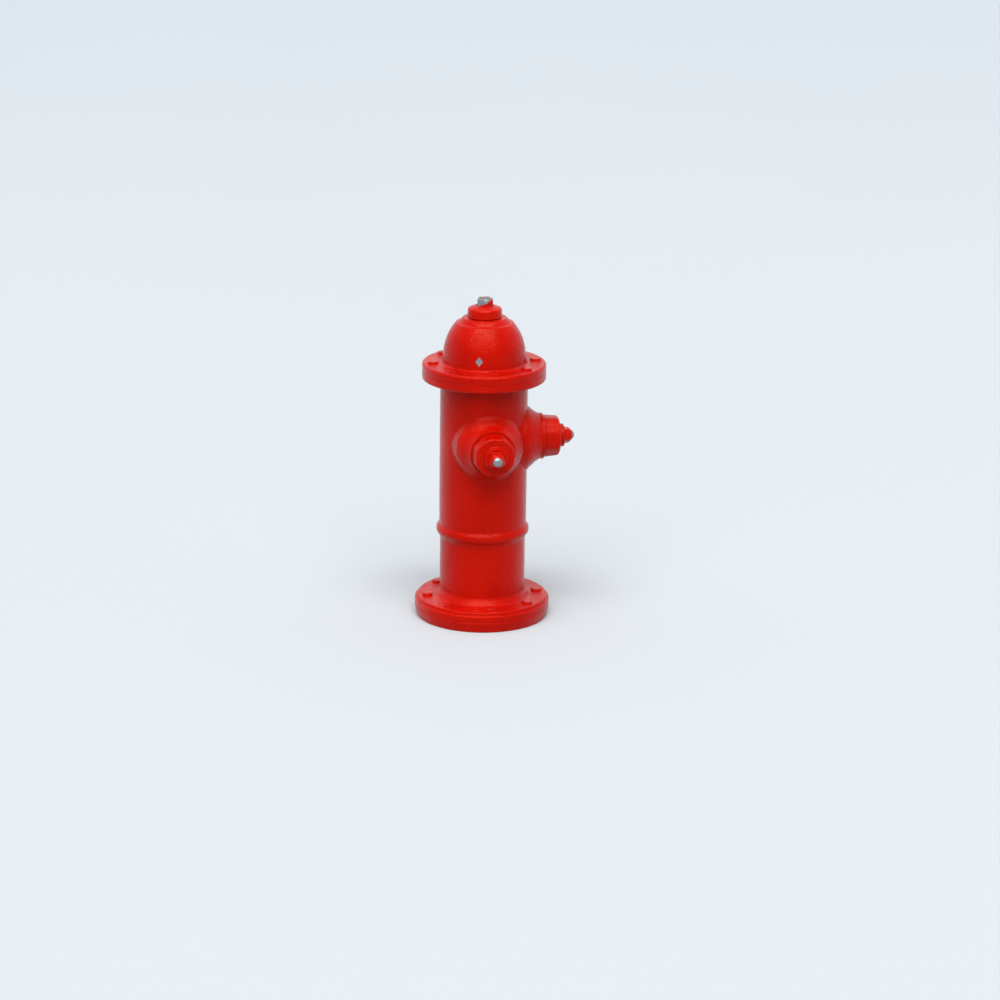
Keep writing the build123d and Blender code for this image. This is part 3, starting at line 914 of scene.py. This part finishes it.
def repeat(name, tree, values):
    """An object with the tree's result as its plain mesh; values go to the tree's inputs by name."""
    made = bpy.data.objects.new(name, bpy.data.meshes.new(name))
    bpy.context.scene.collection.objects.link(made)
    change = made.modifiers.new(name, "NODES")
    change.node_group = tree
    for socket in tree.interface.items_tree:
        if socket.in_out == "INPUT":
            change[socket.identifier] = values[socket.name]
    return evaluated_mesh(made)


class HYDRANT_OT_bolts(PieceOperator, bpy.types.Operator):
    """Makes both circles of painted hexagon bolts"""

    bl_idname = "hydrant.bolts"
    bl_label = "Bolts"

    def build(self, context, sizes, materials):
        tree = bolt_tree()
        jobs = (
            ("bonnet_bolts", JOINT + 21, TOP_BOLT_LOW.z, TOP_BOLT_HIGH.z, top_circle(), 4),
            ("foot_bolts", sizes.foot_top * 1000, FOOT_BOLT_LOW.z, FOOT_BOLT_HIGH.z, foot_circle(), 9),
        )
        for name, seat, low, high, circle, seed in jobs:
            corners = plain((0, low, 0), (7.9, low, 0.8), (7.9, seat - 1, 0))
            corners += [
                (12.9, seat - 0.4, 0.0, HEXAGON), (12.3, seat + 0.5, 1.2, HEXAGON),
                (11.9, seat + 2.0, 1.2, HEXAGON), (11.7, high, 1.4, HEXAGON),
                (8.5, high, 0.6, ROUND), (0, high + 0.35, 0, ROUND),
            ]
            one = make_object(name + "_one", *turn_mesh(outline(corners, 3.0), 48, [(high - 1.6, 13.6, 1.5)]))
            one.data.shade_smooth()
            values = {"Bolt": one, "Count": 8, "Circle Radius": circle / 1000, "Turn Seed": seed,
                      "Material": materials["red_enamel"]}
            made = repeat(name + "_painted", tree, values)
            bpy.data.objects.remove(one)
            smooth(made, 55.0)
            settle(made, "hydrant", name, materials["red_enamel"])


class HYDRANT_OT_operating_nut(PieceOperator, bpy.types.Operator):
    """Makes the five-sided operating nut and the weather shield round it"""

    bl_idname = "hydrant.operating_nut"
    bl_label = "Operating nut"

    def build(self, context, sizes, materials):
        flat = 20.0 * math.cos(math.pi / 5)
        base = SHIELD_HIGH.z - 1
        hole, shaft, shank, collar = 14.05, 20.95, 21.95, 31.5
        roof, under, over = 738.6, 692.1, 699.9
        corners = plain(
            (0, roof, 0), (hole, roof, 0), (hole, NUT_LOW.z, 0.5), (shank, NUT_LOW.z, 0.8),
            (shank, under, 0.5), (collar, under, 0.5), (collar, over, 0.5), (shaft, over, 0), (shaft, base - 0.2, 0.4),
        )
        corners += [
            (flat + 1.6, base + 0.2, 0.6, PENTAGON), (flat, base + 2.4, 2.0, PENTAGON),
            (flat - 0.3, HEIGHT, 2.0, PENTAGON), (flat * 0.55, HEIGHT - 0.1, 0.0, ROUND),
            (0, HEIGHT - 0.5, 0, ROUND),
        ]
        limit = [(HEIGHT - 4.2, 19.9, 0.75)]
        made = make_object("nut_head", *turn_mesh(outline(corners, 1.6), 100, limit, math.radians(-90 + 36)))

        def weight(place):
            """Bare over the top and, slanting down, over the flanks on one side."""
            side, rise = place.x * 1000, place.z * 1000
            slant = (rise - HEIGHT + 17) / 17 - (side + 16) / 36
            return max(0.0, min(1.0, 0.5 + 1.3 * slant + 0.25 * (rise > HEIGHT - 1))) * (rise > HEIGHT - 17)

        mark_bare(made, weight)
        smooth(made, 50.0)
        settle(made, "operating_nut", "operating_nut", materials["painted_nut"])

        low, high = SHIELD_LOW.z, SHIELD_HIGH.z
        corners = plain(
            (shaft, high - 4.5, 0), (23, high - 4.5, 1), (37.2, high - 9, 1.5), (37.2, low, 0.8),
            (40.8, low - 0.8, 0.9), (39.3, high - 7.5, 3.5), (37, high - 4.4, 2.5), (25, high, 1.8),
            (shaft, high, 0.3),
        )
        cover = make_object("shield_cover", *turn_mesh(outline(corners, 3.0), 144))
        roughen(cover, sizes.unevenness * 0.6, 0.022)
        smooth(cover)
        settle(cover, "operating_nut", "weather_shield", materials["red_enamel"])


class HYDRANT_OT_caps(PieceOperator, bpy.types.Operator):
    """Makes the three hose caps"""

    bl_idname = "hydrant.caps"
    bl_label = "Hose caps"

    def build(self, context, sizes, materials):
        skirt, end = CAP_LOW.x, CAP_HIGH.x
        crown, step = skirt + 36.4, skirt + 49.4
        flat8, flat5 = 52 * math.cos(math.pi / 8), 20 * math.cos(math.pi / 5)
        taper = (crown - skirt) * math.tan(math.radians(5.0))
        hollow = skirt + 29
        corners = plain((0, hollow, 0), (38.8, hollow, 1.0), (38.8, skirt + 1.5, 0.3), (40.3, skirt, 0.5))
        corners += [
            (flat8 - 0.6, skirt, 1.6, OCTAGON), (flat8 - 0.2, skirt + 3, 1.5, OCTAGON),
            (flat8 - taper, crown, 3.4, OCTAGON), (36, crown + 0.2, 3.0, ROUND),
            (27.2, crown + 0.2, 2.2, ROUND), (27, step, 2.6, ROUND),
            (21.0, step + 0.1, 2.0, ROUND), (flat5 + 0.5, step + 0.1, 1.8, PENTAGON),
            (flat5 + 0.7, end, 1.3, PENTAGON), (flat5 * 0.6, end - 0.1, 0, ROUND), (0, end - 0.5, 0, ROUND),
        ]
        limit = [(crown - 8.0, 51.4, 1.0), (end - 2.4, 19.8, 0.6)]
        for name, angle in OUTLETS.items():
            made = make_object(name + "_cap_casting", *turn_mesh(outline(corners, 2.4), 160, limit))
            made.data.transform(Matrix.Rotation(math.pi, 4, "Z"))

            def weight(place):
                """Bare over a flat ellipse on the end of the nut; local X points down."""
                off_centre = (place.y / 0.0245) ** 2 + ((place.x - 0.003) / 0.0175) ** 2
                return max(0.0, min(1.0, 0.5 + 1.4 * (1 - off_centre))) * (place.z > (end - 5.5) / 1000)

            mark_bare(made, weight)
            lay_out(made, angle)
            roughen(made, sizes.unevenness * 0.7, 0.138)
            smooth(made, 50.0)
            settle(made, name + "_cap", name + "_cap", materials["red_enamel"])


class HYDRANT_OT_nozzles(PieceOperator, bpy.types.Operator):
    """Makes the three bronze hose nozzles with their outside threads"""

    bl_idname = "hydrant.nozzles"
    bl_label = "Hose nozzles"

    def build(self, context, sizes, materials):
        inner, end = NOZZLE_LOW.x, NOZZLE_HIGH.x
        boss_end, face = sizes.boss_end * 1000, sizes.boss_radius * 1000
        thread, pitch, depth = 38.5, 3.387, 1.9
        bore = 31.75
        collar = boss_end + 7
        corners = plain(
            (bore, inner, 0.5), (43.9, inner, 0.5), (43.9, boss_end, 0), (face, boss_end, 0.5),
            (face, collar, 1.6),
            (thread - 1.2, collar, 0.6), (thread - 1.2, collar + 2.2, 0.4), (thread, collar + 2.8, 0.3),
            (thread, end, 1.2), (bore, end, 0.6),
        )
        points, shares = outline(corners, 0.42)
        keep = [
            i for i in range(len(points))
            if points[i, 1] > collar - 0.1 or i % 8 == 0 or points[i, 0] > 43
        ]
        keep = sorted(set(keep) | set(range(0, len(points), 6)))
        points, shares = points[keep], shares[keep]
        for name, angle in OUTLETS.items():
            verts, faces = turn_mesh((points, shares), 96)
            radius = np.hypot(verts[:, 0], verts[:, 1])
            turn = np.arctan2(verts[:, 1], verts[:, 0]) / (2 * math.pi)
            phase = (verts[:, 2] / pitch - turn) % 1.0
            ridge = np.clip(1.35 - 2.7 * np.abs(phase - 0.5), 0, 1)
            run_in = np.clip((verts[:, 2] - collar - 3.0) / 1.2, 0, 1)
            run_out = np.clip(end - 0.8 - verts[:, 2], 0, 1)
            fade = run_in * run_out
            on = (radius > thread - 0.2) & (radius < thread + 0.2)
            cut = np.where(on, depth * (1 - ridge) * fade, 0)
            scale = (radius - cut) / np.maximum(radius, 1e-6)
            verts[:, 0] *= scale
            verts[:, 1] *= scale
            made = make_object(name + "_nozzle_threaded", verts, faces)
            mark_bare(made, lambda p: 0.0 if p.xy.length > 0.0405 and p.z < collar / 1000 + 0.001 else 1.0)
            lay_out(made, angle)
            smooth(made, 60.0)
            settle(made, "hydrant", name + "_nozzle", materials["nozzle_bronze"])


class HYDRANT_OT_stage(bpy.types.Operator):
    """Makes the floor, the world's soft light and the camera"""

    bl_idname = "hydrant.stage"
    bl_label = "Stage"

    def execute(self, context):
        scene = context.scene
        stage = scene.hydrant_stage
        scene.view_settings.view_transform = "Standard"
        verts = [(-30000, -30000, 0), (30000, -30000, 0), (30000, 30000, 0), (-30000, 30000, 0)]
        floor = make_object("floor", verts, [(0, 1, 2, 3)])
        colours = scene.hydrant_colours
        paper = floor_paper("floor_paper", tuple(colours.floor), tuple(colours.floor_far))
        floor.data.materials.append(paper)

        side = Vector((math.cos(stage.azimuth), math.sin(stage.azimuth), 0))
        back = Vector((
            math.sin(stage.azimuth) * math.cos(stage.elevation),
            -math.cos(stage.azimuth) * math.cos(stage.elevation),
            math.sin(stage.elevation),
        ))
        lens = bpy.data.cameras.new("camera")
        lens.lens = stage.lens
        lens.sensor_width = 36.0
        lens.clip_start, lens.clip_end = 0.1, 100.0
        camera = bpy.data.objects.new("camera", lens)
        camera.rotation_mode = "QUATERNION"
        camera.location = side * stage.aim_side + Vector((0, 0, stage.aim_height)) + back * stage.distance
        level = (-back).to_track_quat("-Z", "Y")
        camera.rotation_quaternion = level @ Quaternion((0, 0, 1), stage.roll)
        scene.collection.objects.link(camera)
        scene.camera = camera

        scene.world = surroundings(stage)
        return {"FINISHED"}


class HYDRANT_PT_panel(bpy.types.Panel):
    """Lists the hydrant's operators and settings"""

    bl_idname = "HYDRANT_PT_panel"
    bl_label = "Hydrant"
    bl_space_type = "VIEW_3D"
    bl_region_type = "UI"
    bl_category = "Hydrant"

    def draw(self, context):
        for operator in STEPS:
            self.layout.operator(operator.bl_idname)
        scene = context.scene
        for group in (scene.hydrant_sizes, scene.hydrant_colours, scene.hydrant_stage):
            for name in group.__annotations__:
                self.layout.prop(group, name)


STEPS = (
    HYDRANT_OT_stage, HYDRANT_OT_finishes, HYDRANT_OT_barrel, HYDRANT_OT_bonnet, HYDRANT_OT_ground_flange,
    HYDRANT_OT_gaskets, HYDRANT_OT_bolts, HYDRANT_OT_operating_nut, HYDRANT_OT_caps, HYDRANT_OT_nozzles,
)
GROUPS = {"hydrant_sizes": HydrantSizes, "hydrant_colours": HydrantColours, "hydrant_stage": HydrantStage}


def register():
    for group in GROUPS.values():
        bpy.utils.register_class(group)
    for name, group in GROUPS.items():
        setattr(bpy.types.Scene, name, PointerProperty(type=group))
    for operator in STEPS:
        bpy.utils.register_class(operator)
    bpy.utils.register_class(HYDRANT_PT_panel)


def unregister():
    bpy.utils.unregister_class(HYDRANT_PT_panel)
    for operator in reversed(STEPS):
        bpy.utils.unregister_class(operator)
    for name, group in reversed(GROUPS.items()):
        delattr(bpy.types.Scene, name)
        bpy.utils.unregister_class(group)


def main():
    register()
    for operator in STEPS:
        family, name = operator.bl_idname.split(".")
        getattr(getattr(bpy.ops, family), name)()


if __name__ == "__main__":
    main()
